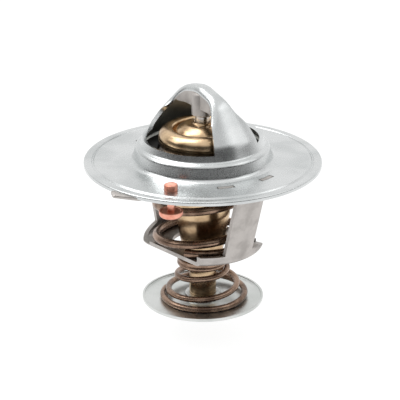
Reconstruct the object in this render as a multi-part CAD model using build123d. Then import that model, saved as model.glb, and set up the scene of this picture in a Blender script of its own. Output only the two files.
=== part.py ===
from build123d import *
from math import cos, pi, sin
import os

# Engine coolant thermostat with a wax element, a main valve and a spring-loaded bypass disc.
# Millimetres. Every height below is measured from the top face of the flange, and save() lifts the
# finished pieces so that the underside of the bypass disc lies at Z = 0.

# Driving dimensions
flange_radius = 27.0
disc_radius = 14.0
disc_drop = 34.0

# Running and seating gaps
running_gap = 0.06
seat_gap = 0.1
fit_gap = 0.02
wire_gap = 0.03

# Upper housing: one pressing with flange, stepped collar and bridge
housing_sheet = 0.9
rim_width = 2.2
rim_step = 0.15
collar_foot_radius = 15.95
collar_shoulder_radius = 15.2
collar_shoulder_height = 3.55
collar_neck_radius = 14.2
collar_neck_height = 3.85
bridge_foot_radius = 13.0
bridge_foot_height = 6.9
crown_radius = 6.7
crown_height = 15.95
apex_flat_radius = 1.1
apex_height = 17.35
lip_height = 5.35

# Bridge seen from above: it is narrow over the piston and flares into two feet
bridge_azimuth = -54.0
waist_half_width = 1.85
waist_end = 7.0
flare_end = 9.9
flare_half_width = 5.6
foot_angle = 26.5
waist_round = 2.0
bridge_wall_height = 11.6
bridge_wall_reach = 9.4
pocket_height = 10.5
pocket_wall = 0.9
pocket_drop = 1.3
pocket_roof = 0.65

# Locating tab on the flange
tab_azimuth = -129.0
tab_width = 7.0
tab_reach = 1.3
tab_drop = 0.5
tab_corner = 0.9

# Air bleed pin
bleed_inset = 6.04
bleed_azimuth = -109.2
bleed_shank_radius = 0.8
bleed_hole_gap = 0.35
bleed_head_radius = 1.5
bleed_head_height = 1.4
bleed_weight_radius = 2.65
bleed_weight_height = 1.6
bleed_drop = 4.7

# Lower frame: one bent strip with a dished bottom, two legs and four lugs
frame_sheet = 0.9
frame_depth = 21.0
frame_wall_radius = 14.0
frame_wall_height = 2.3
frame_hole_radius = 7.0
strip_azimuth = -48.0
strip_half_width = 9.7
leg_azimuth = -53.0
leg_half_width = 3.85
wall_corner_azimuth = -12.0
wall_corner_start = -5.9
wall_corner_drop = 2.1
wall_corner_end = 3.4
head_azimuth = -58.4
head_height = 3.0
lug_radius = 18.9
lug_offset_angle = 16.2
lug_half_angle = 5.2
slot_end_gap = 0.25
slot_side_gap = 0.2

# Piston
piston_radius = 1.65
piston_depth = 14.5

# Wax element
case_radius = 6.3
case_wall = 0.8
case_taper_depth = 13.0
case_end_radius = 4.4
case_depth = 24.0
case_bottom = 3.0
case_head_radius = 10.05
case_head_height = 7.25
case_curl_radius = 7.0
case_curl_height = 6.2
guide_flange_top = 5.9
guide_dome_radius = 6.8
guide_dome_middle_radius = 5.0
guide_dome_middle_height = 7.2
guide_boss_radius = 2.2
guide_boss_height = 8.2
sleeve_tip_gap = 0.3
sleeve_wall = 1.2
sleeve_end_wall = 1.2
sleeve_flange = 1.2
washer_thickness = 0.4
washer_radius = 4.4
seal_ring_height = 1.2
seal_ring_wall = 1.1

# Main valve
valve_radius = 13.9
valve_sheet = 0.7
valve_neck = 1.8
valve_seal_thickness = 0.8
valve_seal_width = 3.7
spring_seat_sheet = 0.6
spring_seat_lip = 1.6

# Main spring
main_wire_radius = 0.95
main_spring_radius = 10.65
main_first_turn = -0.06
main_closed_turns = 0.76
main_pitch = 8.0

# Bypass valve on its shaft
shaft_radius = 3.1
shaft_spigot_radius = 2.2
shaft_spigot_length = 2.6
shaft_end_gap = 0.1
disc_sheet = 0.5
disc_lip = 0.4
hub_radius = 4.4
hub_rise = 1.0
clip_thickness = 0.5
clip_width = 1.0
clip_groove_depth = 0.5
clip_gap_angle = 60.0
bypass_washer_thickness = 0.6
bypass_washer_radius = 5.9
bypass_wire_radius = 0.7
bypass_first_turn = 0.75
bypass_last_turn = 4.6
bypass_bottom_radius = 9.8
bypass_top_radius = 4.8
bypass_cone_start = 1.0
bypass_cone_turns = 2.9
bypass_rise_turns = 3.1


def revolved(corners):
    """Solid of revolution about Z from (radius, height) corners."""
    return revolve(Plane.XZ * make_face(Polyline(*corners, close=True)), Axis.Z)


def ring(inner, outer, low, high):
    """Flat ring or tube with square edges."""
    return revolved([(inner, low), (outer, low), (outer, high), (inner, high)])


def sheet_section(corners, radii, thickness):
    """Closed section of an even sheet that lies on the left of the line through the corners."""
    points = [Vector(*corner) for corner in corners]
    runs = [(b - a).normalized() for a, b in zip(points, points[1:])]
    normals = [Vector(-run.Y, run.X) for run in runs]
    inner = [points[0] + normals[0] * thickness]
    inner_radii = []
    for i in range(1, len(runs)):
        middle = (normals[i - 1] + normals[i]).normalized()
        inner.append(points[i] + middle * (thickness / middle.dot(normals[i])))
        left_turn = runs[i - 1].X * runs[i].Y > runs[i - 1].Y * runs[i].X
        bend = radii[i - 1]
        inner_radii.append(max(bend - thickness, 0) if left_turn else bend + thickness)
    inner.append(points[-1] + normals[-1] * thickness)
    skin = FilletPolyline(*points, radius=radii)
    back = FilletPolyline(*inner, radius=inner_radii)
    ends = [Line(points[0], inner[0]), Line(points[-1], inner[-1])]
    return make_face([*skin.edges(), *back.edges(), *ends])


def pressed(corners, radii, thickness):
    """Round pressing of even thickness, from the line that one skin follows."""
    return revolve(Plane.XZ * sheet_section(corners, radii, thickness), Axis.Z)


def at_angle(radius, azimuth, height=0.0):
    """Point at a radius and an azimuth in degrees."""
    return (radius * cos(azimuth * pi / 180), radius * sin(azimuth * pi / 180), height)


def sector(inner, outer, azimuth, half_angle, low, high):
    """Block that fills a range of azimuths between two radii and two heights."""
    corners = [(inner, low), (outer, low), (outer, high), (inner, high)]
    profile = Plane.XZ * make_face(Polyline(*corners, close=True))
    return Rot(0, 0, azimuth - half_angle) * revolve(profile, Axis.Z, 2 * half_angle)


def coil(first_turn, last_turn, radius_at, level_at, wire_radius):
    """Round wire wound right-handed; turn 0 is at the front of the part."""
    count = round(12 * (last_turn - first_turn))
    points = []
    for i in range(count + 1):
        turn = first_turn + (last_turn - first_turn) * i / count
        points.append(at_angle(radius_at(turn), 360 * turn - 90, level_at(turn)))
    path = Spline(*points)
    section = Plane(origin=path @ 0, z_dir=path % 0) * Circle(wire_radius)
    return sweep(section, path, is_frenet=True)


# Levels that several pieces share
flange_underside = -housing_sheet
piston_seat_height = apex_height - pocket_drop - pocket_roof
frame_floor = frame_sheet - frame_depth
valve_seal_top = collar_shoulder_height - housing_sheet - seat_gap
valve_plate_top = valve_seal_top - valve_seal_thickness
valve_plate_bottom = valve_plate_top - valve_sheet
main_spring_top = valve_plate_bottom - spring_seat_sheet
case_floor_level = valve_plate_top + case_wall
guide_bottom = case_floor_level + sleeve_flange
case_cavity_bottom = -case_depth + case_bottom
bypass_washer_bottom = -case_depth - bypass_washer_thickness
disc_top = -disc_drop
disc_bottom = disc_top - disc_sheet
hub_top = disc_top + hub_rise
clip_top = hub_top - disc_sheet - running_gap

# Radii that several pieces share
rim_radius = flange_radius - rim_width
bleed_radius = flange_radius - bleed_inset
bore_radius = piston_radius + running_gap
case_inner_radius = case_radius - case_wall
case_head_inner_radius = case_head_radius - 1.4
sleeve_radius = bore_radius + sleeve_wall
clip_inner_radius = shaft_radius - clip_groove_depth


def save(name, shape):
    """Writes one piece in the row's frame."""
    export_step(Pos(0, 0, -disc_bottom) * shape, f"parts/{name}.step")


def housing_skin():
    """Corners and bends of the housing's outer skin, from the flange's rim to the apex."""
    corners = [
        (flange_radius, -rim_step),
        (rim_radius + rim_step, -rim_step),
        (rim_radius - rim_step, 0),
        (collar_foot_radius, 0),
        (collar_shoulder_radius, collar_shoulder_height),
        (collar_neck_radius, collar_neck_height),
        (bridge_foot_radius, bridge_foot_height),
        (crown_radius, crown_height),
        (apex_flat_radius, apex_height),
        (0, apex_height),
    ]
    radii = [0.3, 0.3, 1.3, 1.1, 0.7, 3.0, 4.5, 2.0]
    return corners, radii


def bridge_outline():
    """Plan of the bridge: a narrow waist that flares into two radial feet."""
    reach = flange_radius
    spread = flare_half_width + (reach - flare_end) * sin(foot_angle * pi / 180)
    quarter = [(waist_end, waist_half_width), (flare_end, flare_half_width), (reach, spread)]
    right = quarter + [(x, -y) for x, y in reversed(quarter)]
    left = [(-x, -y) for x, y in right]
    plan = make_face(Polyline(*right, *left, close=True))
    bends = [v for v in plan.vertices() if abs(v.X) < reach - 1]
    return Rot(0, 0, bridge_azimuth) * fillet(bends, waist_round)


def hood_block():
    """Everything under the housing's outer skin, as one solid."""
    corners, radii = housing_skin()
    skin = FilletPolyline(*corners, radius=radii)
    edge = Polyline((0, apex_height), (0, flange_underside), (flange_radius, flange_underside), corners[0])
    return revolve(Plane.XZ * make_face([*skin.edges(), *edge.edges()]), Axis.Z)


def bridge_walls(plan):
    """Edges of the bridge turned down on both sides of the piston, with the piston's pocket."""
    rim = (plan - offset(plan, -pocket_wall)) & Circle(bridge_wall_reach)
    hood = hood_block()
    walls = Pos(0, 0, bridge_wall_height) * extrude(rim, apex_height) & hood
    pocket = Pos(0, 0, pocket_height) * extrude(Circle(piston_radius + pocket_wall), apex_height)
    return walls + (pocket & Pos(0, 0, -pocket_drop) * hood)


def lug_slots():
    """Cutters for the four slots that the lower frame's lugs come up through."""
    half_slot = frame_sheet / 2 + slot_side_gap
    half_angle = lug_half_angle + slot_end_gap / lug_radius * 180 / pi
    cutters = []
    for turn in (0, 180):
        for side in (-1, 1):
            azimuth = head_azimuth + turn + side * lug_offset_angle
            low = lug_radius - half_slot
            high = lug_radius + half_slot
            cutters.append(sector(low, high, azimuth, half_angle, -3, 3))
    return cutters


def upper_housing():
    """Flange, collar and bridge, pressed from one sheet."""
    corners, radii = housing_skin()
    plan = bridge_outline()
    keep = Pos(0, 0, -3) * extrude(Circle(flange_radius + 1), lip_height + 3)
    keep += Pos(0, 0, -3) * extrude(plan, apex_height + 6)
    shell = pressed(corners, radii, housing_sheet) & keep
    shell += bridge_walls(plan)
    bore_height = piston_seat_height - pocket_height
    shell -= Pos(0, 0, pocket_height) * extrude(Circle(piston_radius), bore_height)
    tab = RectangleRounded(2 * tab_reach, tab_width, tab_corner)
    tab = Pos(flange_radius, 0, flange_underside - tab_drop) * extrude(tab, housing_sheet)
    shell += Rot(0, 0, tab_azimuth) * tab
    for cutter in lug_slots():
        shell -= cutter
    bleed_place = Pos(*at_angle(bleed_radius, bleed_azimuth))
    return shell - bleed_place * Cylinder(bleed_shank_radius + bleed_hole_gap, 6)


def wall_corner():
    """Cutter that slopes the right-hand end of the frame's upturned wall."""
    top = frame_wall_height - frame_depth + 0.5
    low = frame_wall_height - frame_depth - wall_corner_drop
    start = frame_wall_height - frame_depth
    corners = [(wall_corner_start, start), (wall_corner_end, low), (wall_corner_end, top)]
    corners.append((wall_corner_start, top))
    face = Plane.YZ * make_face(Polyline(*corners, close=True))
    return Rot(0, 0, wall_corner_azimuth) * extrude(face, flange_radius)


def lower_frame():
    """Bent strip that carries the main spring and hooks into the flange."""
    wall_top = frame_wall_height - frame_depth
    corners = [
        (frame_hole_radius, -frame_depth),
        (frame_wall_radius, -frame_depth),
        (frame_wall_radius, wall_top),
        (lug_radius + frame_sheet / 2, 0),
    ]
    cup = pressed(corners, [1.3, 2.5], frame_sheet)
    length = 2 * flange_radius
    strip = extrude(Rectangle(length, 2 * strip_half_width), frame_wall_height + 1)
    keep = Rot(0, 0, strip_azimuth) * Pos(0, 0, -frame_depth - 1) * strip
    for turn in (0, 180):
        keep -= Rot(0, 0, turn) * wall_corner()
    leg = extrude(Rectangle(length, 2 * leg_half_width), frame_depth - head_height + 0.5)
    keep += Rot(0, 0, leg_azimuth) * Pos(0, 0, -frame_depth) * leg
    head_half_angle = lug_offset_angle + lug_half_angle
    for turn in (0, 180):
        centre = head_azimuth + turn
        keep += sector(frame_hole_radius, flange_radius, centre, head_half_angle, -head_height, flange_underside)
        for side in (-1, 1):
            lug_centre = centre + side * lug_offset_angle
            keep += sector(frame_hole_radius, flange_radius, lug_centre, lug_half_angle, -head_height, 0)
    return cup & keep


def piston():
    """Steel push rod that stands in the bridge's pocket."""
    rod = Pos(0, 0, -piston_depth) * extrude(Circle(piston_radius), piston_seat_height + piston_depth)
    return chamfer(rod.edges().group_by(Axis.Z)[0], 0.4)


def main_spring():
    """Return spring between the frame's floor and the valve's spring seat."""
    low = frame_floor + wire_gap + main_wire_radius
    high = main_spring_top - wire_gap - main_wire_radius
    rise_start = main_first_turn + main_closed_turns
    last_turn = rise_start + (high - low) / main_pitch + main_closed_turns

    def level_at(turn):
        return min(max(low + main_pitch * (turn - rise_start), low), high)

    return coil(main_first_turn, last_turn, lambda turn: main_spring_radius, level_at, main_wire_radius)


def element_case():
    """Brass wax case whose wide mouth is curled over the guide."""
    barrel = revolved(
        [
            (0, -case_depth),
            (case_end_radius, -case_depth),
            (case_end_radius, case_cavity_bottom),
            (case_radius, -case_taper_depth),
            (case_radius, valve_plate_top + 0.1),
            (0, valve_plate_top + 0.1),
        ]
    )
    mouth = FilletPolyline(
        (0, valve_plate_top),
        (case_head_radius, valve_plate_top),
        (case_head_radius, case_head_height),
        (case_curl_radius, case_head_height),
        (case_curl_radius, case_curl_height),
        radius=[0.8, 1.75, 0.9],
    )
    closing = Polyline((case_curl_radius, case_curl_height), (0, case_curl_height), (0, valve_plate_top))
    head = revolve(Plane.XZ * make_face([*mouth.edges(), *closing.edges()]), Axis.Z)
    cavity = revolved(
        [
            (0, case_cavity_bottom),
            (case_end_radius - case_wall, case_cavity_bottom),
            (case_inner_radius, -case_taper_depth),
            (case_inner_radius, case_floor_level),
            (case_head_inner_radius, case_floor_level),
            (case_head_inner_radius, guide_flange_top),
            (case_curl_radius, guide_flange_top),
            (case_curl_radius, case_head_height),
            (0, case_head_height),
        ]
    )
    spigot_hole = Pos(0, 0, -case_depth) * extrude(Circle(shaft_spigot_radius), shaft_spigot_length)
    return barrel + head - cavity - spigot_hole


def element_guide():
    """Turned brass guide: a clamped flange with a dome and a boss round the piston."""
    seal_low = guide_bottom + washer_thickness + 0.7
    outline = [
        Line((bore_radius, guide_bottom), (case_head_inner_radius, guide_bottom)),
        Line((case_head_inner_radius, guide_bottom), (case_head_inner_radius, guide_flange_top)),
        Line((case_head_inner_radius, guide_flange_top), (guide_dome_radius, guide_flange_top)),
        ThreePointArc(
            (guide_dome_radius, guide_flange_top),
            (guide_dome_middle_radius, guide_dome_middle_height),
            (guide_boss_radius + 0.5, guide_boss_height - 0.5),
        ),
        Line((guide_boss_radius + 0.5, guide_boss_height - 0.5), (guide_boss_radius, guide_boss_height)),
        Line((guide_boss_radius, guide_boss_height), (bore_radius, guide_boss_height)),
        Line((bore_radius, guide_boss_height), (bore_radius, guide_bottom)),
    ]
    body = revolve(Plane.XZ * make_face(outline), Axis.Z)
    body -= ring(bore_radius - 0.1, washer_radius, guide_bottom, guide_bottom + washer_thickness)
    return body - ring(bore_radius - 0.1, bore_radius + seal_ring_wall, seal_low, seal_low + seal_ring_height)


def rubber_sleeve():
    """Closed rubber sleeve round the piston, with a flange clamped under the guide."""
    tip = -piston_depth - sleeve_tip_gap
    return revolved(
        [
            (0, tip - sleeve_end_wall),
            (sleeve_radius, tip - sleeve_end_wall),
            (sleeve_radius, case_floor_level),
            (case_head_inner_radius, case_floor_level),
            (case_head_inner_radius, guide_bottom),
            (bore_radius, guide_bottom),
            (bore_radius, tip),
            (0, tip),
        ]
    )


def wax_charge():
    """Wax that fills the case round the sleeve."""
    sleeve_end = -piston_depth - sleeve_tip_gap - sleeve_end_wall
    return revolved(
        [
            (0, case_cavity_bottom),
            (case_end_radius - case_wall, case_cavity_bottom),
            (case_inner_radius, -case_taper_depth),
            (case_inner_radius, case_floor_level),
            (sleeve_radius, case_floor_level),
            (sleeve_radius, sleeve_end),
            (0, sleeve_end),
        ]
    )


def sleeve_washer():
    """Hard washer that keeps the sleeve from creeping into the guide's bore."""
    return ring(bore_radius, washer_radius, guide_bottom, guide_bottom + washer_thickness)


def piston_seal():
    """Rubber ring in the guide's groove, wiping the piston."""
    low = guide_bottom + washer_thickness + 0.7
    return ring(bore_radius, bore_radius + seal_ring_wall, low, low + seal_ring_height)


def valve_plate():
    """Main valve: a pressed disc with a short neck on the element's case."""
    neck_radius = case_radius + fit_gap
    corners = [
        (valve_radius - 0.3, valve_plate_top),
        (neck_radius, valve_plate_top),
        (neck_radius, valve_plate_top - valve_neck),
    ]
    return pressed(corners, [0.3], valve_sheet)


def valve_seal():
    """Rubber seating ring bonded to the rim of the main valve."""
    seal = ring(valve_radius - valve_seal_width, valve_radius, valve_plate_top, valve_seal_top)
    return fillet(seal.edges().group_by(Axis.Z)[-1], 0.25)


def spring_seat():
    """Ring under the main valve with a lip that centres the spring."""
    lip_radius = main_spring_radius - main_wire_radius - seat_gap - spring_seat_sheet
    corners = [
        (main_spring_radius + main_wire_radius + 0.6, valve_plate_bottom),
        (lip_radius, valve_plate_bottom),
        (lip_radius, valve_plate_bottom - spring_seat_lip),
    ]
    return pressed(corners, [0.2], spring_seat_sheet)


def bypass_shaft():
    """Brass shaft pressed into the case, with a groove for the clip near its end."""
    end = disc_bottom + shaft_end_gap
    shaft = Pos(0, 0, end) * extrude(Circle(shaft_radius), -case_depth - end)
    shaft += Pos(0, 0, -case_depth) * extrude(Circle(shaft_spigot_radius), shaft_spigot_length)
    return shaft - ring(clip_inner_radius, shaft_radius + 1, clip_top - clip_thickness, clip_top)


def bypass_washer():
    """Washer under the case that the bypass spring pushes against."""
    return ring(shaft_radius + fit_gap, bypass_washer_radius, bypass_washer_bottom, -case_depth)


def bypass_spring():
    """Conical spring of nested turns that holds the bypass disc down on its clip."""
    low = disc_top + wire_gap + bypass_wire_radius
    high = bypass_washer_bottom - wire_gap - bypass_wire_radius

    def radius_at(turn):
        share = min(max((turn - bypass_cone_start) / bypass_cone_turns, 0), 1)
        return bypass_bottom_radius + (bypass_top_radius - bypass_bottom_radius) * share

    def level_at(turn):
        share = min(max((turn - bypass_cone_start) / bypass_rise_turns, 0), 1)
        return low + (high - low) * share

    return coil(bypass_first_turn, bypass_last_turn, radius_at, level_at, bypass_wire_radius)


def bypass_clip():
    """Open ring in the shaft's groove that stops the bypass disc."""
    outer = clip_inner_radius + clip_width
    half_angle = (360 - clip_gap_angle) / 2
    return sector(clip_inner_radius, outer, 90, half_angle, clip_top - clip_thickness, clip_top)


def bypass_disc():
    """Pressed disc with an upturned rim and a raised hub round the shaft."""
    lip_radius = disc_radius - disc_sheet
    corners = [
        (lip_radius, disc_top + disc_lip),
        (lip_radius, disc_top),
        (hub_radius, disc_top),
        (hub_radius - 0.2, hub_top),
        (shaft_radius + running_gap, hub_top),
    ]
    return pressed(corners, [0.3, 0.3, 0.6], disc_sheet)


def bleed_pin():
    """Headed copper pin that hangs in the flange's bleed hole."""
    head = extrude(Circle(bleed_head_radius), bleed_head_height)
    head = fillet(head.edges().group_by(Axis.Z)[-1], 0.35)
    length = bleed_drop + bleed_weight_height
    shank = Pos(0, 0, -length) * extrude(Circle(bleed_shank_radius), length)
    return Pos(*at_angle(bleed_radius, bleed_azimuth)) * (head + shank)


def bleed_weight():
    """Round copper weight riveted to the pin's tail."""
    weight = extrude(Circle(bleed_weight_radius), -bleed_weight_height)
    weight = fillet(weight.edges().group_by(Axis.Z)[0], bleed_weight_height * 0.6)
    weight -= extrude(Circle(bleed_shank_radius), -bleed_weight_height)
    return Pos(*at_angle(bleed_radius, bleed_azimuth, -bleed_drop)) * weight


pieces = [
    upper_housing,
    lower_frame,
    piston,
    main_spring,
    element_case,
    element_guide,
    rubber_sleeve,
    wax_charge,
    sleeve_washer,
    piston_seal,
    valve_plate,
    valve_seal,
    spring_seat,
    bypass_shaft,
    bypass_washer,
    bypass_spring,
    bypass_clip,
    bypass_disc,
    bleed_pin,
    bleed_weight,
]

os.makedirs("parts", exist_ok=True)
for piece in pieces:
    save(piece.__name__, piece())
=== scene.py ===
"""Looks of an engine coolant thermostat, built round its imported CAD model."""

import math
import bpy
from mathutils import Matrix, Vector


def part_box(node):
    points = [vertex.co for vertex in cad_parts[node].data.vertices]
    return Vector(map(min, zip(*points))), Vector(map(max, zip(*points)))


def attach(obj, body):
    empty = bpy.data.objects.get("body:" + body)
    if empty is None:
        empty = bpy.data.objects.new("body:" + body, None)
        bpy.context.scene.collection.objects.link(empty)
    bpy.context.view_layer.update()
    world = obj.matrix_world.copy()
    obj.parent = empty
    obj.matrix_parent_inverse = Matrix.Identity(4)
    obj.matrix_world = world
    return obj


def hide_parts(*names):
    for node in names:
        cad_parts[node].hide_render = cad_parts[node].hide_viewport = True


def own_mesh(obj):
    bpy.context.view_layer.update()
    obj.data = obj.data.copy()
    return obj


bl_info = {
    "name": "Coolant Thermostat",
    "version": (1, 0, 0),
    "blender": (4, 5, 0),
    "location": "3D View > Sidebar > Thermostat",
    "description": "Pressed housing, wax element, springs and bleed pin of a thermostat",
    "category": "Add Mesh",
}

import bmesh
import bpy
from bpy.props import FloatProperty, FloatVectorProperty, IntProperty, PointerProperty
from bpy.types import Operator, Panel, PropertyGroup
from mathutils import Euler, Vector

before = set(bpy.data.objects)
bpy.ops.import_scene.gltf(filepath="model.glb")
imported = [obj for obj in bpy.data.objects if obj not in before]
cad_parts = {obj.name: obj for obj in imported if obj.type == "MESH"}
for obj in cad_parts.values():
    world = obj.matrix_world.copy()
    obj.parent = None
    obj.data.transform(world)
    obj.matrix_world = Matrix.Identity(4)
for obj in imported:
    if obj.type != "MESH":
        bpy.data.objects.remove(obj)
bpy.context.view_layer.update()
MM = 0.001

# Heights in this file are millimetres above the flange's top face. The lower frame's lugs end
# level with it, so their top gives its height in the frame.
FLANGE_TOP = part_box("lower_frame")[1].z / MM

# Millimetres within which two points of a mesh are one
SAME_POINT = 0.004


# Sections and meshes


def part_way(value, start, end):
    """How far a value has come from the start to the end, from 0 to 1."""
    return min(max((value - start) / (end - start), 0.0), 1.0)


def eased(value, start, end):
    """The same share, but level at the start and the end."""
    share = part_way(value, start, end)
    return share * share * (3 - 2 * share)


def rounded(corners, steps=7):
    """Points of a line through (x, y, bend) corners, each an arc of that radius.

    The two ends have no bend, and a bend of 0 leaves its corner sharp.
    """
    points = [Vector(corners[0][:2])]
    for before, (x, y, bend), after in zip(corners, corners[1:-1], corners[2:]):
        corner = Vector((x, y))
        if bend == 0:
            points.append(corner)
            continue
        inward = (Vector(before[:2]) - corner).normalized()
        onward = (Vector(after[:2]) - corner).normalized()
        half = inward.angle(onward) / 2
        start = corner + inward * (bend / math.tan(half))
        end = corner + onward * (bend / math.tan(half))
        centre = corner + (inward + onward).normalized() * (bend / math.sin(half))
        for i in range(steps + 1):
            arm = (start - centre).lerp(end - centre, i / steps)
            points.append(centre + arm.normalized() * bend)
    points.append(Vector(corners[-1][:2]))
    return points


def on_line(points, axis, value):
    """Point of a line where one coordinate has a value, or its last point if none has."""
    for a, b in zip(points, points[1:]):
        low, high = sorted((a[axis], b[axis]))
        if low <= value <= high and high > low:
            return a.lerp(b, (value - a[axis]) / (b[axis] - a[axis]))
    return points[-1].copy()


def heading(points, i):
    """Direction in which a line runs at one of its points."""
    return (points[min(i + 1, len(points) - 1)] - points[max(i - 1, 0)]).normalized()


def even_steps(line, count):
    """Points along a line in a number of even steps."""
    lengths = [0.0]
    for a, b in zip(line, line[1:]):
        lengths.append(lengths[-1] + (b - a).length)
    points = []
    k = 0
    for i in range(count + 1):
        want = lengths[-1] * i / count
        while k < len(line) - 2 and lengths[k + 1] < want:
            k += 1
        points.append(line[k].lerp(line[k + 1], part_way(want, lengths[k], lengths[k + 1])))
    return points


def polar(radius, azimuth):
    """Plan point from a radius and an azimuth in degrees."""
    angle = math.radians(azimuth)
    return Vector((radius * math.cos(angle), radius * math.sin(angle)))


def in_frame(x, y, height):
    """Point of the frame, in metres, from a plan point and a height in millimetres."""
    return Vector((x, y, height + FLANGE_TOP)) * MM


def join_rings(bm, low, high):
    """Adds the faces between two closed rings of points."""
    count = len(low)
    for i in range(count):
        k = (i + 1) % count
        bm.faces.new((low[i], low[k], high[k], high[i]))


def new_mesh(name, bm, sharp=38):
    """Mesh with smooth faces, and sharp edges where it turns by more than so many degrees."""
    bmesh.ops.remove_doubles(bm, verts=bm.verts, dist=SAME_POINT * MM)
    mesh = bpy.data.meshes.new(name)
    bm.to_mesh(mesh)
    bm.free()
    mesh.shade_smooth()
    mesh.set_sharp_from_angle(angle=math.radians(sharp))
    return mesh


def lathe(name, section, around=180, closed=False, centre=(0, 0)):
    """Surface of revolution of (radius, height) points about a vertical line."""
    bm = bmesh.new()
    rings = []
    for radius, height in section:
        spots = [polar(radius, 360 * i / around) + Vector(centre) for i in range(around)]
        rings.append([bm.verts.new(in_frame(*spot, height)) for spot in spots])
    if closed:
        rings.append(rings[0])
    for low, high in zip(rings, rings[1:]):
        join_rings(bm, low, high)
    return new_mesh(name, bm)


def wire(name, points, radius, around=24):
    """Round wire through points in millimetres, with its ends cut square."""
    bm = bmesh.new()
    side = Vector((0, 0, 1))
    rings = []
    for i, point in enumerate(points):
        ahead = heading(points, i)
        side = (side - ahead * side.dot(ahead)).normalized()
        other = ahead.cross(side)
        ring = []
        for k in range(around):
            angle = 2 * math.pi * k / around
            spot = point + (side * math.cos(angle) + other * math.sin(angle)) * radius
            ring.append(bm.verts.new(in_frame(*spot)))
        rings.append(ring)
    for low, high in zip(rings, rings[1:]):
        join_rings(bm, high, low)
    bm.faces.new(rings[0])
    bm.faces.new(list(reversed(rings[-1])))
    return new_mesh(name, bm)


def add_piece(mesh, body, slot, material, *nodes):
    """Puts a mesh in the scene as a piece that rides on a body and stands for CAD nodes."""
    piece = bpy.data.objects.new(mesh.name, mesh)
    bpy.context.scene.collection.objects.link(piece)
    mesh.materials.append(material)
    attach(piece, body)
    if nodes:
        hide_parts(*nodes)
    return piece


# Materials


def srgb(text):
    """Linear colour from an sRGB hex value."""
    parts = [int(text[i : i + 2], 16) / 255 for i in (1, 3, 5)]
    return [c / 12.92 if c <= 0.04045 else ((c + 0.055) / 1.055) ** 2.4 for c in parts] + [1.0]


def add_node(tree, kind, inputs=None, **settings):
    """Adds a node with its settings, and with its inputs linked or set."""
    made = tree.nodes.new(kind)
    for key, value in settings.items():
        setattr(made, key, value)
    for key, value in (inputs or {}).items():
        if isinstance(value, bpy.types.NodeSocket):
            tree.links.new(value, made.inputs[key])
        else:
            made.inputs[key].default_value = value
    return made


def blank_material(name, colour):
    """Material of a name, new or used again, whose node tree is empty."""
    made = bpy.data.materials.get(name) or bpy.data.materials.new(name)
    made.use_nodes = True
    made.diffuse_color = colour
    made.node_tree.nodes.clear()
    return made


def metal(name, bright, dull, *, polish, haze, blotch, grain, depth):
    """Bare metal: two tones in blotches, and a grain that goes from polish to haze.

    The sizes of blotches and grain, and the grain's depth, are millimetres. A real grain is too
    fine to show at this scale, so it is drawn coarser.
    """
    made = blank_material(name, bright)
    tree = made.node_tree
    spot = add_node(tree, "ShaderNodeTexCoord").outputs["Object"]
    patches = add_node(
        tree,
        "ShaderNodeTexNoise",
        {"Vector": spot, "Scale": 1 / (blotch * MM), "Detail": 5.0},
    )
    specks = add_node(
        tree,
        "ShaderNodeTexNoise",
        {"Vector": spot, "Scale": 1 / (grain * MM), "Detail": 3.0},
    )
    tone = add_node(
        tree,
        "ShaderNodeMapRange",
        {"Value": patches.outputs["Fac"], "From Min": 0.38, "From Max": 0.68},
        interpolation_type="SMOOTHSTEP",
    )
    colour = add_node(
        tree,
        "ShaderNodeMix",
        {0: tone.outputs["Result"], 6: bright, 7: dull},
        data_type="RGBA",
    )
    rough = add_node(
        tree,
        "ShaderNodeMapRange",
        {
            "Value": specks.outputs["Fac"],
            "From Min": 0.3,
            "From Max": 0.7,
            "To Min": polish,
            "To Max": haze,
        },
    )
    bump = add_node(
        tree,
        "ShaderNodeBump",
        {"Height": specks.outputs["Fac"], "Strength": 0.35, "Distance": depth * MM},
    )
    shader = add_node(
        tree,
        "ShaderNodeBsdfPrincipled",
        {
            "Base Color": colour.outputs[2],
            "Roughness": rough.outputs["Result"],
            "Normal": bump.outputs["Normal"],
            "Metallic": 1.0,
        },
    )
    add_node(tree, "ShaderNodeOutputMaterial", {"Surface": shader.outputs["BSDF"]})
    return made


def pressed_stainless():
    """Cold-pressed stainless sheet: satin, with bright bends and faint smears from the press."""
    colours = bpy.context.scene.thermostat_colours
    return metal(
        "pressed_stainless_satin",
        colours.sheet,
        colours.sheet_smears,
        polish=0.25,
        haze=0.3,
        blotch=9.0,
        grain=0.9,
        depth=0.0003,
    )


def tumbled_stainless():
    """Tumbled stainless strip: an even warm grey with a dull sheen, and no clear reflections."""
    colours = bpy.context.scene.thermostat_colours
    return metal(
        "tumbled_stainless_dull",
        colours.strip,
        colours.strip_clouds,
        polish=0.42,
        haze=0.55,
        blotch=4.0,
        grain=0.35,
        depth=0.012,
    )


def shaded_stainless():
    """Inner skin of the pressing: a darker, duller copy of the sheet's steel, painted shade so
    that it stays dark under the bridge.
    """
    return metal(
        "stainless_inner_painted_shade",
        srgb("#C2C4BE"),
        srgb("#9C9E98"),
        polish=0.38,
        haze=0.5,
        blotch=6.0,
        grain=0.9,
        depth=0.001,
    )


def polished_brass():
    """Deep-drawn brass, polished by its tools: clear highlights and brown annealing stains."""
    colours = bpy.context.scene.thermostat_colours
    return metal(
        "deep_drawn_brass",
        colours.brass,
        colours.brass_stains,
        polish=0.22,
        haze=0.27,
        blotch=5.0,
        grain=0.9,
        depth=0.0003,
    )


def tempered_wire():
    """Oil-tempered spring wire: brown oxide over steel, with soft light along the wire."""
    colours = bpy.context.scene.thermostat_colours
    return metal(
        "oil_tempered_wire",
        colours.wire,
        colours.wire_streaks,
        polish=0.22,
        haze=0.34,
        blotch=3.0,
        grain=0.5,
        depth=0.001,
    )


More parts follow.
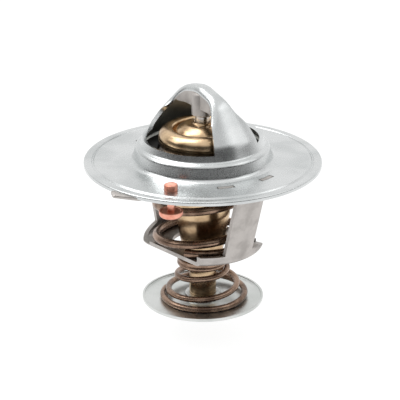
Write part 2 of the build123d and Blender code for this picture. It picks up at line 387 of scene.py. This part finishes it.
def bright_copper():
    """Cold-headed copper: pink-orange and smooth, with darker handling marks."""
    colours = bpy.context.scene.thermostat_colours
    return metal(
        "cold_headed_copper",
        colours.copper,
        colours.copper_marks,
        polish=0.28,
        haze=0.38,
        blotch=2.0,
        grain=0.5,
        depth=0.001,
    )


def ground_rod():
    """Ground stainless rod: a tight even polish."""
    return metal(
        "ground_stainless",
        srgb("#D8D8D8"),
        srgb("#BDBDBD"),
        polish=0.18,
        haze=0.26,
        blotch=3.0,
        grain=0.3,
        depth=0.003,
    )


def stamped_disc():
    """Stamped stainless disc: flat, slightly green-grey and satin."""
    return metal(
        "stamped_stainless",
        srgb("#DADCDA"),
        srgb("#CBCECB"),
        polish=0.27,
        haze=0.36,
        blotch=8.0,
        grain=0.6,
        depth=0.001,
    )


def moulded_rubber(bloom_size=1.5):
    """Moulded nitrile rubber: matt black with a faint bloom, its patches sized in millimetres."""
    made = blank_material("moulded_nitrile_rubber", srgb("#1B1B1B"))
    tree = made.node_tree
    spot = add_node(tree, "ShaderNodeTexCoord").outputs["Object"]
    bloom = add_node(
        tree,
        "ShaderNodeTexNoise",
        {"Vector": spot, "Scale": 1 / (bloom_size * MM), "Detail": 4.0},
    )
    colour = add_node(
        tree,
        "ShaderNodeMix",
        {0: bloom.outputs["Fac"], 6: srgb("#121212"), 7: srgb("#262524")},
        data_type="RGBA",
    )
    shader = add_node(
        tree,
        "ShaderNodeBsdfPrincipled",
        {"Base Color": colour.outputs[2], "Roughness": 0.62},
    )
    add_node(tree, "ShaderNodeOutputMaterial", {"Surface": shader.outputs["BSDF"]})
    return made


# Settings that a user may change


def length_setting(name, description, millimetres):
    """Length setting with its default in millimetres."""
    return FloatProperty(
        name=name, description=description, default=millimetres * MM, unit="LENGTH"
    )


def colour_setting(name, description, text):
    """Colour setting with its default as an sRGB hex value."""
    return FloatVectorProperty(
        name=name,
        description=description,
        default=srgb(text),
        subtype="COLOR",
        size=4,
        min=0,
        max=1,
    )


class ColourSettings(PropertyGroup):
    """Main tone of each metal, and the tone of its blotches."""

    sheet: colour_setting("Sheet", "Pressed stainless sheet of the housing", "#D8DADA")
    sheet_smears: colour_setting("Sheet smears", "Cloudy smears on the sheet", "#C6C9C9")
    strip: colour_setting("Strip", "Tumbled stainless strip of the lower frame", "#C4BFBB")
    strip_clouds: colour_setting("Strip clouds", "Duller clouds on the strip", "#ADA8A4")
    brass: colour_setting("Brass", "Drawn brass of the wax element", "#D8BC98")
    brass_stains: colour_setting("Brass stains", "Annealing stains on the brass", "#947656")
    wire: colour_setting("Wire", "Oil-tempered wire of both springs", "#A08674")
    wire_streaks: colour_setting("Wire streaks", "Darker oxide on the wire", "#6C574A")
    copper: colour_setting("Copper", "Copper of the bleed pin", "#F2B09A")
    copper_marks: colour_setting("Copper marks", "Handling marks on the copper", "#DC907A")


class HousingSettings(PropertyGroup):
    """Pressed housing."""

    sheet: length_setting("Sheet", "Thickness of the sheet", 0.9)
    edge: length_setting("Edge", "Rounding of cut edges", 0.1)
    roll: length_setting("Roll", "Radius of the bridge's turned edge", 1.35)


class SpringSettings(PropertyGroup):
    """Both coil springs."""

    main_wire: length_setting("Main wire", "Radius of the main spring's wire", 0.95)
    bypass_wire: length_setting("Bypass wire", "Radius of the conical spring's wire", 0.7)
    steps: IntProperty(name="Steps", description="Steps in each turn", default=60, min=24)


class StudioSettings(PropertyGroup):
    """Lamps and camera."""

    distance: length_setting("Distance", "From the camera to the flange's centre", 412.5)
    elevation: FloatProperty(
        name="Elevation",
        description="Camera above the horizon",
        default=math.radians(20.34),
        subtype="ANGLE",
    )
    lens: FloatProperty(name="Lens", description="Focal length in millimetres", default=163.8)
    key: FloatProperty(name="Key", description="Key lamp's power in watts", default=1.05, min=0)


# Housing

# Outer skin, as (radius, height, bend) from the rim up to the crown
HOUSING_SECTION = [
    (25.4, -0.3),
    (24.85, -0.36, 0.2),
    (24.5, 0, 0.2),
    (15.95, 0, 1.3),
    (15.2, 3.55, 1.1),
    (14.2, 3.85, 0.7),
    (13.0, 6.9, 3.0),
    (6.8, 16.05, 6.5),
    (1.1, 17.35, 5.0),
    (0, 17.35),
]
# Raised rim, as (radius, height, bend) round to its start
RIM_SECTION = [
    (25.1, -1.05),
    (27.0, -1.05, 0.15),
    (27.0, -0.16, 0.3),
    (26.2, -0.08, 1.5),
    (25.1, -0.08, 0.35),
    (25.1, -1.05),
]
# Cup under the crown that holds the piston's end, as (radius, height)
POCKET_SECTION = [
    (1.68, 10.5),
    (2.35, 10.5),
    (2.55, 10.7),
    (2.55, 15.3),
    (2.3, 15.7),
    (1.5, 15.95),
    (0.01, 16.0),
]
# Degrees by which the skin turns at an edge that is cut, not bent
CUT_EDGE = 50
# Degrees that a face takes up, roughly, and the radius of a ring that splits the long faces
FACE_ANGLE = 2
MIDDLE_RING = 22.5

# Slots that the lower frame's lugs come through
SLOT_AZIMUTHS = (-74.6, -42.2, 105.4, 137.8)
SLOT_HALF_ANGLE = 5.96
SLOT_RADII = (18.25, 19.55)

# Collar's lip, and the foot of each leg on it
LIP_HEIGHT = 5.35
FOOT_AZIMUTH = -52.0
FOOT_HALF_ANGLE = 26.8
# Plan of a leg: a narrow strap from the apex, then a flare that starts at the shoulder
STRAP_AZIMUTH = -58.0
STRAP_HALF_WIDTH = 1.85
STRAP_LENGTH = 6.1
STRAP_BEND = 4.5
SHOULDER_RADIUS = 9.85
SHOULDER_BEND = 6.0
LEG_STEPS = 56
# A leg's face is straight across up to one radius, and round about the axis from another
STRAIGHT_RADIUS = 3.0
ROUND_RADIUS = 9.0
# Radii where a leg's edge starts to roll down and its wall starts, and where both are full
ROLL_START = 12.8
WALL_START = 8.2
ROLL_FULL = 6.6
# Height that a full wall comes down to
WALL_FOOT = 12.5
ROLL_STEPS = 7
WALL_STEPS = 3
# Material slot of the walls. The sheet's inner side takes the slot after its outer side's.
WALL_SLOT = 2

# Ear under the rim: its plan as (outward, along the rim, bend), its levels as (height, inset),
# and the half sizes that an inset is taken from
TAB_AZIMUTH = -129
TAB_RADIUS = 27
TAB_PLAN = [
    (-1.3, -3.9, 0.3),
    (0.4, -3.5, 0.5),
    (1.9, -1.6, 0.6),
    (-0.5, 4.2, 0.5),
    (-1.3, 4.2, 0.3),
]
TAB_LEVELS = [(-1.28, 0.12), (-1.16, 0), (-0.74, 0), (-0.62, 0.12)]
TAB_REACH = 1.3
TAB_HALF_WIDTH = 3.5


def turn_from(centre, azimuth):
    """Degrees from one azimuth to another, the short way round."""
    return (azimuth - centre + 180) % 360 - 180


def housing_angles():
    """Azimuths of the housing's mesh: every slot's and foot's edges lie on one."""
    marks = set()
    for turn in (0, 180):
        foot = FOOT_AZIMUTH + turn
        marks.update((foot - FOOT_HALF_ANGLE, foot + FOOT_HALF_ANGLE))
    for slot in SLOT_AZIMUTHS:
        marks.update((slot - SLOT_HALF_ANGLE, slot + SLOT_HALF_ANGLE))
    marks = sorted(mark % 360 for mark in marks)
    marks.append(marks[0] + 360)
    angles = []
    for low, high in zip(marks, marks[1:]):
        count = max(1, round((high - low) / FACE_ANGLE))
        angles += [low + (high - low) * i / count for i in range(count)]
    return angles


def in_slot(radius, azimuth):
    """True where a point of the flange lies in one of the lugs' slots."""
    if not SLOT_RADII[0] < radius < SLOT_RADII[1]:
        return False
    return any(abs(turn_from(slot, azimuth)) < SLOT_HALF_ANGLE for slot in SLOT_AZIMUTHS)


def leg_edge(side, lip_radius):
    """Plan of one edge of the front leg, from the collar's lip to the apex."""
    along = polar(1, STRAP_AZIMUTH)
    across = polar(1, STRAP_AZIMUTH + 90) * side
    foot = FOOT_AZIMUTH + side * FOOT_HALF_ANGLE
    corners = [
        polar(lip_radius, foot),
        (*polar(SHOULDER_RADIUS, foot), SHOULDER_BEND),
        (*(along * STRAP_LENGTH + across * STRAP_HALF_WIDTH), STRAP_BEND),
        across * STRAP_HALF_WIDTH,
    ]
    return even_steps(rounded(corners, steps=14), LEG_STEPS)


def rolled_edge(line, side, lip_radius, roll):
    """Where one edge's roll starts, and below each such point the points of roll and wall."""
    edge = leg_edge(side, lip_radius)
    starts = []
    skirts = []
    for i, point in enumerate(edge):
        ahead = heading(edge, i)
        outward = Vector((ahead.y, -ahead.x)) * side
        if i == LEG_STEPS:
            # At the apex the two legs meet, so the edge faces straight across the strap
            outward = polar(1, STRAP_AZIMUTH + 90) * side
        curl = math.pi / 2 * eased(point.length, ROLL_START, ROLL_FULL)
        start = point - outward * roll * math.sin(curl)
        top = on_line(line, 0, start.length).y
        skirt = []
        for k in range(1, ROLL_STEPS + 1):
            turn = curl * k / ROLL_STEPS
            spot = start + outward * roll * math.sin(turn)
            skirt.append((*spot, top - roll * (1 - math.cos(turn))))
        low = skirt[-1][2]
        drop = max(low - WALL_FOOT, 0) * eased(point.length, WALL_START, ROLL_FULL)
        for k in range(1, WALL_STEPS + 1):
            skirt.append((*point, low - drop * k / WALL_STEPS))
        starts.append(start)
        skirts.append(skirt)
    return starts, skirts


def add_leg(bm, line, shares, lip_radius, roll, facing):
    """One leg of the bridge: its crowned face, with a rolled edge and a wall on each side."""
    rights, right_skirts = rolled_edge(line, 1, lip_radius, roll)
    lefts, left_skirts = rolled_edge(line, -1, lip_radius, roll)
    rings = []
    for left, right, left_skirt, right_skirt in zip(lefts, rights, left_skirts, right_skirts):
        left_angle = math.atan2(left.y, left.x)
        right_angle = math.atan2(right.y, right.x)
        if right_angle < left_angle:
            right_angle += 2 * math.pi
        roundness = eased(right.length, STRAIGHT_RADIUS, ROUND_RADIUS)
        crown = []
        for share in shares:
            straight = left.lerp(right, share)
            angle = left_angle + (right_angle - left_angle) * share
            reach = left.length + (right.length - left.length) * share
            spot = straight.lerp(polar(reach, math.degrees(angle)), roundness)
            crown.append((*spot, on_line(line, 0, spot.length).y))
        ring = [*reversed(left_skirt), *crown, *right_skirt]
        rings.append([bm.verts.new(in_frame(x * facing, y * facing, z)) for x, y, z in ring])
    for low, high in zip(rings, rings[1:]):
        last = len(low) - 2
        for k in range(last + 1):
            face = bm.faces.new((low[k], low[k + 1], high[k + 1], high[k]))
            if min(k, last - k) < WALL_STEPS:
                face.material_index = WALL_SLOT


def housing_mesh(roll):
    """Outer skin of the flange, collar and bridge as one open sheet."""
    line = rounded(HOUSING_SECTION)
    lip = on_line(line, 1, LIP_HEIGHT)
    rows = [point for point in line if point.y < LIP_HEIGHT]
    rows += [Vector((radius, 0)) for radius in (*SLOT_RADII, MIDDLE_RING)]
    rows.sort(key=lambda point: -point.x)
    rows.append(lip)
    angles = housing_angles()
    bm = bmesh.new()
    rings = []
    for radius, height in rows:
        spots = [polar(radius, angle) for angle in angles]
        rings.append([bm.verts.new(in_frame(*spot, height)) for spot in spots])
    for i, (outer, inner) in enumerate(zip(rings, rings[1:])):
        middle = (rows[i].x + rows[i + 1].x) / 2
        for k, angle in enumerate(angles):
            # A quarter of a step on lies within the face, also where the step is short
            if in_slot(middle, angle + FACE_ANGLE / 4):
                continue
            m = (k + 1) % len(angles)
            bm.faces.new((outer[k], outer[m], inner[m], inner[k]))
    # Where each azimuth crosses the front leg's foot, from 0 at one edge to 1 at the other
    shares = [(turn_from(FOOT_AZIMUTH, angle) / FOOT_HALF_ANGLE + 1) / 2 for angle in angles]
    shares = sorted(share for share in shares if -0.001 < share < 1.001)
    for facing in (1, -1):
        add_leg(bm, line, shares, lip.x, roll, facing)
    return new_mesh("housing_shell", bm, sharp=CUT_EDGE)


def tab_mesh():
    """Small ear under the flange's rim, widest near one end."""
    bm = bmesh.new()
    plan = rounded([TAB_PLAN[-1], *TAB_PLAN, TAB_PLAN[0]], steps=6)[1:-1]
    outward = polar(1, TAB_AZIMUTH)
    along = polar(1, TAB_AZIMUTH + 90)
    rings = []
    for height, inset in TAB_LEVELS:
        ring = []
        for point in plan:
            reach = TAB_RADIUS + point.x * (1 - inset / TAB_REACH)
            shift = point.y * (1 - inset / TAB_HALF_WIDTH)
            ring.append(bm.verts.new(in_frame(*(outward * reach + along * shift), height)))
        rings.append(ring)
    for low, high in zip(rings, rings[1:]):
        join_rings(bm, low, high)
    bm.faces.new(list(reversed(rings[0])))
    bm.faces.new(rings[-1])
    return new_mesh("locating_tab", bm)


def form_sheet(shell, sizes):
    """Gives the housing's skin its thickness, and rounds its cut edges so they catch light."""
    sheet = shell.modifiers.new("sheet", "SOLIDIFY")
    sheet.thickness = sizes.sheet
    sheet.offset = -1
    sheet.material_offset = 1
    bevel = shell.modifiers.new("broken_edges", "BEVEL")
    bevel.width = sizes.edge
    bevel.segments = 2
    bevel.limit_method = "ANGLE"
    bevel.angle_limit = math.radians(CUT_EDGE)
    bevel.harden_normals = True


class THERMOSTAT_OT_housing(Operator):
    """Builds the pressed housing: flange, rim, collar, bridge, piston pocket and tab"""

    bl_idname = "thermostat.housing"
    bl_label = "Housing"

    def execute(self, context):
        sizes = context.scene.thermostat_housing
        bright = pressed_stainless()
        dull = tumbled_stainless()
        skin = housing_mesh(sizes.roll / MM)
        shell = add_piece(skin, "housing", "housing_steel", bright, "upper_housing")
        # The sheet's inner side gets a darker copy of the steel: painted shade under the bridge
        skin.materials.append(shaded_stainless())
        skin.materials.append(dull)
        form_sheet(shell, sizes)
        pocket = lathe("piston_pocket", POCKET_SECTION, around=64)
        add_piece(pocket, "housing", "housing_steel", dull)
        rim = lathe("flange_rim", rounded(RIM_SECTION)[:-1], around=240, closed=True)
        add_piece(rim, "housing", "housing_steel", bright)
        add_piece(tab_mesh(), "housing", "housing_steel", dull)
        return {"FINISHED"}


# Wax element

# Sections as (radius, height, bend)
CASE_SECTION = [
    (2.2, -24),
    (4.4, -24, 0.3),
    (6.3, -13, 6.0),
    (6.3, 1.75, 0.5),
    (8.6, 1.75, 1.0),
    (10.25, 4.6, 2.4),
    (9.6, 7.65, 2.3),
    (6.75, 7.65, 0.65),
    (6.75, 5.9, 0.1),
    (8.6, 5.9),
]
GUIDE_SECTION = [
    (8.6, 5.9),
    (6.9, 5.92, 0.1),
    (6.5, 6.4, 0.4),
    (5.6, 7.6, 2.2),
    (3.9, 8.5, 2.6),
    (2.5, 8.62, 0.1),
    (2.35, 8.9, 0.15),
    (2.0, 9.0, 0.1),
    (1.7, 9.0, 0.1),
    (1.7, 6),
]


class THERMOSTAT_OT_element(Operator):
    """Builds the brass case with its curled mouth, and the turned guide"""

    bl_idname = "thermostat.element"
    bl_label = "Wax element"

    def execute(self, context):
        brass = polished_brass()
        case = lathe("case_skin", rounded(CASE_SECTION))
        add_piece(case, "element", "brass", brass, "element_case")
        guide = lathe("guide_skin", rounded(GUIDE_SECTION))
        add_piece(guide, "element", "brass", brass, "element_guide")
        return {"FINISHED"}


# Springs

# First and last turn of each spring, and its wire's middle as (turn, radius) and (turn, height).
# Turn 0 is at the front, and the turns go anticlockwise seen from above.
MAIN_TURNS = (-0.06, 3.78375)
MAIN_RADII = [(0, 10.65)]
MAIN_HEIGHTS = [(0.7, -19.12), (3.02375, -0.53)]
# The conical spring has two nested turns below and close turns above
BYPASS_TURNS = (0.7, 4.6)
BYPASS_RADII = [
    (0.5, 8.6),
    (1.0, 9.75),
    (1.25, 9.75),
    (1.75, 7.95),
    (2.25, 7.9),
    (2.75, 5.9),
    (3.3, 5.6),
    (4.3, 4.8),
]
BYPASS_HEIGHTS = [(1.1, -33.27), (2.0, -31.6), (3.0, -27.5), (3.8, -25.33)]


def value_at(marks, turn, way):
    """Value at a turn, going from each (turn, value) mark to the next in the given way."""
    value = marks[0][1]
    for (start, before), (end, after) in zip(marks, marks[1:]):
        value += (after - before) * way(turn, start, end)
    return value


def coil(turns, radii, heights, steps):
    """Middle line of a spring, with a number of steps in each turn."""
    first, last = turns
    points = []
    for i in range(round((last - first) * steps) + 1):
        turn = first + i / steps
        spot = polar(value_at(radii, turn, eased), 360 * turn - 90)
        points.append(Vector((*spot, value_at(heights, turn, part_way))))
    return points


class THERMOSTAT_OT_springs(Operator):
    """Winds the main spring and the conical bypass spring"""

    bl_idname = "thermostat.springs"
    bl_label = "Springs"

    def execute(self, context):
        sizes = context.scene.thermostat_springs
        steel = tempered_wire()
        line = coil(MAIN_TURNS, MAIN_RADII, MAIN_HEIGHTS, sizes.steps)
        mesh = wire("main_spring_wire", line, sizes.main_wire / MM)
        piece = add_piece(mesh, "housing", "spring_steel", steel, "main_spring")
        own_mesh(piece)
        line = coil(BYPASS_TURNS, BYPASS_RADII, BYPASS_HEIGHTS, sizes.steps)
        mesh = wire("bypass_spring_wire", line, sizes.bypass_wire / MM)
        piece = add_piece(mesh, "element", "spring_steel", steel, "bypass_spring")
        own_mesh(piece)
        return {"FINISHED"}


# Bypass valve and bleed pin

# Disc with an upturned rim and a raised hub, as (radius, height, bend) round to its start
DISC_SECTION = [
    (14, -33.6),
    (14, -34.5, 0.5),
    (3.8, -34.5, 0.3),
    (3.7, -33.5, 0.2),
    (3.16, -33.5, 0),
    (3.16, -33, 0),
    (4.15, -33, 0.3),
    (4.35, -34, 0.4),
    (13.55, -34, 0.25),
    (13.55, -33.6),
]
BLEED_RADIUS = 20.96
BLEED_AZIMUTH = -109.2
PIN_SECTION = [(0.8, -5), (0.8, 0, 0), (1.5, 0, 0.12), (1.5, 1.4, 0.35), (0.01, 1.4)]
WEIGHT_SECTION = [
    (0.01, -6.3),
    (2.65, -6.3, 1.0),
    (2.65, -4.7, 0.15),
    (2.2, -4.7, 0.1),
    (2.05, -4.85, 0.1),
    (0.01, -4.75),
]


class THERMOSTAT_OT_bypass(Operator):
    """Builds the pressed bypass disc with its upturned rim and hub"""

    bl_idname = "thermostat.bypass"
    bl_label = "Bypass disc"

    def execute(self, context):
        disc = lathe("disc_skin", rounded(DISC_SECTION), closed=True)
        add_piece(disc, "bypass", "disc_steel", stamped_disc(), "bypass_disc")
        return {"FINISHED"}


class THERMOSTAT_OT_bleed(Operator):
    """Builds the copper bleed pin and its weight"""

    bl_idname = "thermostat.bleed"
    bl_label = "Bleed pin"

    def execute(self, context):
        centre = polar(BLEED_RADIUS, BLEED_AZIMUTH)
        copper = bright_copper()
        pin = lathe("bleed_head", rounded(PIN_SECTION), around=64, centre=centre)
        add_piece(pin, "bleed", "copper", copper, "bleed_pin")
        weight = lathe("bleed_bob", rounded(WEIGHT_SECTION), around=96, centre=centre)
        add_piece(weight, "bleed", "copper", copper, "bleed_weight")
        return {"FINISHED"}


# Finishes of the CAD nodes that stay


class THERMOSTAT_OT_finishes(Operator):
    """Gives each CAD node that stays its material"""

    bl_idname = "thermostat.finishes"
    bl_label = "Finishes"

    def execute(self, context):
        finishes = {
            tumbled_stainless: ("lower_frame", "valve_plate", "spring_seat"),
            ground_rod: ("piston", "sleeve_washer"),
            moulded_rubber: ("valve_seal", "rubber_sleeve", "piston_seal", "wax_charge"),
            polished_brass: ("bypass_shaft",),
            tempered_wire: ("bypass_washer", "bypass_clip"),
        }
        for finish, nodes in finishes.items():
            for node in nodes:
                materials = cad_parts[node].data.materials
                materials.clear()
                materials.append(finish())
        return {"FINISHED"}


# Studio

# The floor lies this many millimetres below the bypass disc, which comes down almost to it when
# the main valve is fully open
FLOOR_DROP = 8.5
# Metres from the floor's middle to its edges
FLOOR_HALF_WIDTH = 3.0
# Place and size of each lamp in metres, and its share of the key lamp's power
LAMPS = {
    "key_lamp": ((-0.22, 0.06, 0.5), 0.34, 1.0),
    "left_lamp": ((-0.42, -0.02, 0.34), 0.26, 0.34),
    "right_lamp": ((0.42, -0.04, 0.31), 0.34, 0.3),
}
LAMP_TARGET = Vector((0, 0, 0.035))
# The photograph's frame isn't centred on the flange
CAMERA_SHIFT = (-0.00693, -0.10468)


def studio_floor():
    """Matt white paper: white to the camera and in reflections, with the part's soft shadow."""
    made = blank_material("white_paper_floor", srgb("#F4F4F2"))
    tree = made.node_tree
    rays = add_node(tree, "ShaderNodeLightPath").outputs
    seen = rays["Is Camera Ray"]
    for ray in ("Is Glossy Ray", "Is Transmission Ray"):
        either = add_node(tree, "ShaderNodeMath", {0: seen, 1: rays[ray]}, operation="MAXIMUM")
        seen = either.outputs[0]
    paper = add_node(tree, "ShaderNodeBsdfDiffuse", {"Color": srgb("#F4F4F2")})
    glow = add_node(tree, "ShaderNodeEmission", {"Color": (1, 1, 1, 1), "Strength": 0.88})
    dim = add_node(tree, "ShaderNodeBsdfDiffuse", {"Color": (0.2, 0.2, 0.2, 1)})
    lit = add_node(tree, "ShaderNodeAddShader", {0: dim.outputs[0], 1: glow.outputs[0]})
    mixed = add_node(
        tree, "ShaderNodeMixShader", {0: seen, 1: paper.outputs[0], 2: lit.outputs[0]}
    )
    add_node(tree, "ShaderNodeOutputMaterial", {"Surface": mixed.outputs[0]})
    return made


def studio_world():
    """White room behind and above the part, and a dim one on the camera's side."""
    world = bpy.data.worlds.new("soft_white_room")
    world.use_nodes = True
    tree = world.node_tree
    tree.nodes.clear()
    direction = add_node(tree, "ShaderNodeTexCoord").outputs["Generated"]
    axes = add_node(tree, "ShaderNodeSeparateXYZ", {0: direction}).outputs
    above = add_node(
        tree,
        "ShaderNodeMapRange",
        {"Value": axes["Z"], "From Min": 0.42, "From Max": 0.8},
        interpolation_type="SMOOTHSTEP",
    )
    behind = add_node(
        tree,
        "ShaderNodeMapRange",
        {"Value": axes["Y"], "From Min": -0.2, "From Max": 0.75},
        interpolation_type="SMOOTHSTEP",
    )
    light = add_node(
        tree,
        "ShaderNodeMath",
        {0: above.outputs[0], 1: behind.outputs[0]},
        operation="MAXIMUM",
    )
    level = add_node(
        tree,
        "ShaderNodeMapRange",
        {"Value": light.outputs[0], "To Min": 0.07, "To Max": 0.97},
    )
    room = add_node(tree, "ShaderNodeBackground", {"Color": level.outputs[0], "Strength": 1.0})
    white = add_node(tree, "ShaderNodeBackground", {"Color": (1, 1, 1, 1), "Strength": 1.0})
    seen = add_node(tree, "ShaderNodeLightPath").outputs["Is Camera Ray"]
    mixed = add_node(
        tree, "ShaderNodeMixShader", {0: seen, 1: room.outputs[0], 2: white.outputs[0]}
    )
    add_node(tree, "ShaderNodeOutputWorld", {"Surface": mixed.outputs[0]})
    return world


def add_floor():
    """Wide sheet of paper under the part."""
    mesh = bpy.data.meshes.new("paper_floor")
    bm = bmesh.new()
    bmesh.ops.create_grid(bm, x_segments=8, y_segments=8, size=FLOOR_HALF_WIDTH)
    bm.to_mesh(mesh)
    bm.free()
    mesh.materials.append(studio_floor())
    floor = bpy.data.objects.new("paper_floor", mesh)
    bpy.context.scene.collection.objects.link(floor)
    floor.location.z = -FLOOR_DROP * MM


def add_lamp(name, spot, size, power):
    """Square soft lamp that points at the part."""
    data = bpy.data.lights.new(name, "AREA")
    data.size = size
    data.energy = power
    lamp = bpy.data.objects.new(name, data)
    bpy.context.scene.collection.objects.link(lamp)
    lamp.location = spot
    lamp.rotation_euler = (LAMP_TARGET - Vector(spot)).to_track_quat("-Z", "Y").to_euler()


def add_camera(studio):
    """Camera at the photograph's viewing angle, aimed at the middle of the flange."""
    data = bpy.data.cameras.new("photo_camera")
    data.sensor_width = 36
    data.lens = studio.lens
    data.shift_x, data.shift_y = CAMERA_SHIFT
    data.clip_start = 0.01
    data.clip_end = 10
    camera = bpy.data.objects.new("photo_camera", data)
    bpy.context.scene.collection.objects.link(camera)
    back = Vector((0, -math.cos(studio.elevation), math.sin(studio.elevation)))
    camera.location = in_frame(0, 0, 0) + back * studio.distance
    camera.rotation_euler = Euler((math.pi / 2 - studio.elevation, 0, 0))
    bpy.context.scene.camera = camera


class THERMOSTAT_OT_studio(Operator):
    """Sets up the floor, the soft lamps, the room and the camera"""

    bl_idname = "thermostat.studio"
    bl_label = "Studio"

    def execute(self, context):
        studio = context.scene.thermostat_studio
        add_floor()
        for name, (spot, size, share) in LAMPS.items():
            add_lamp(name, spot, size, share * studio.key)
        context.scene.world = studio_world()
        add_camera(studio)
        context.scene.view_settings.view_transform = "Standard"
        return {"FINISHED"}


class THERMOSTAT_PT_panel(Panel):
    """Lists the settings and the steps"""

    bl_idname = "THERMOSTAT_PT_panel"
    bl_label = "Coolant Thermostat"
    bl_space_type = "VIEW_3D"
    bl_region_type = "UI"
    bl_category = "Thermostat"

    def draw(self, context):
        for key, kind in GROUPS.items():
            box = self.layout.box()
            for setting in kind.__annotations__:
                box.prop(getattr(context.scene, key), setting)
        for step in STEPS:
            self.layout.operator(step.bl_idname)


STEPS = (
    THERMOSTAT_OT_housing,
    THERMOSTAT_OT_element,
    THERMOSTAT_OT_springs,
    THERMOSTAT_OT_bypass,
    THERMOSTAT_OT_bleed,
    THERMOSTAT_OT_finishes,
    THERMOSTAT_OT_studio,
)
GROUPS = {
    "thermostat_colours": ColourSettings,
    "thermostat_housing": HousingSettings,
    "thermostat_springs": SpringSettings,
    "thermostat_studio": StudioSettings,
}


def register():
    """Registers the settings, the steps and the panel."""
    for kind in (*GROUPS.values(), *STEPS, THERMOSTAT_PT_panel):
        bpy.utils.register_class(kind)
    for key, kind in GROUPS.items():
        setattr(bpy.types.Scene, key, PointerProperty(type=kind))


def unregister():
    """Takes back what register() added."""
    for key in GROUPS:
        delattr(bpy.types.Scene, key)
    for kind in reversed((*GROUPS.values(), *STEPS, THERMOSTAT_PT_panel)):
        bpy.utils.unregister_class(kind)


def main():
    """Builds everything in order."""
    register()
    bpy.ops.thermostat.housing()
    bpy.ops.thermostat.element()
    bpy.ops.thermostat.springs()
    bpy.ops.thermostat.bypass()
    bpy.ops.thermostat.bleed()
    bpy.ops.thermostat.finishes()
    bpy.ops.thermostat.studio()


if __name__ == "__main__":
    main()
